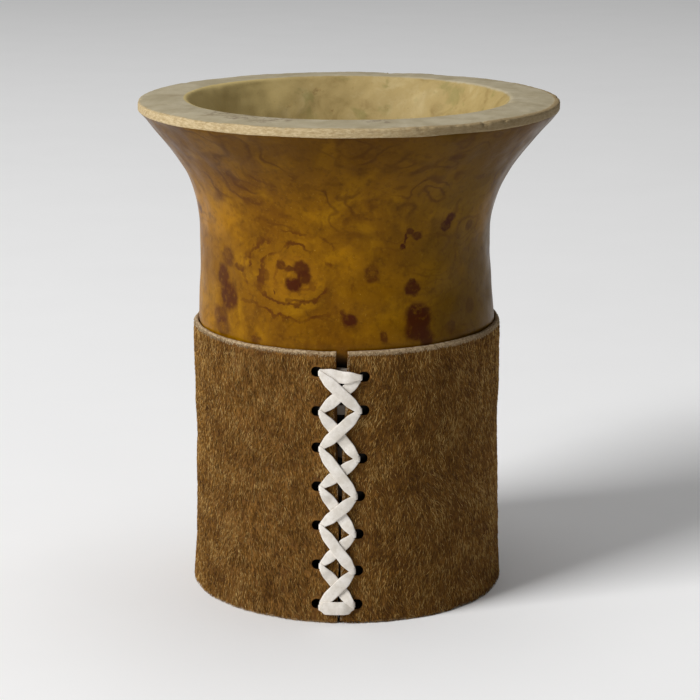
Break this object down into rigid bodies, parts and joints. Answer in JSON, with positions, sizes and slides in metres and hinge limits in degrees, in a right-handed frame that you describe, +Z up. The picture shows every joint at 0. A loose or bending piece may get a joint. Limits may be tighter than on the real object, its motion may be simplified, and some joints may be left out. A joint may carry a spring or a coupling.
{
  "type": "mate gourd cup",
  "caption": "Flared dried-gourd drinking cup standing in a hair-on hide sleeve laced up the front with a white leather strip.",
  "frame": {"origin": "middle of the flat spot that the cup stands on", "axes": "+Z up along the gourd's axis; the laced seam faces -Y"},
  "size_m": [0.093, 0.093, 0.1104],
  "materials": {
    "gourd": "varnished amber skin with brown blotches; cut rim and inside pale and raw",
    "hide": "hair-on cow hide, short brown hair, pale cut edges",
    "lace": "matt white leather strip"
  },
  "bodies": {
    "root": {"gourd": "gourd", "hide_sleeve": "hide", "lace": "lace"}
  },
  "joints": []
}
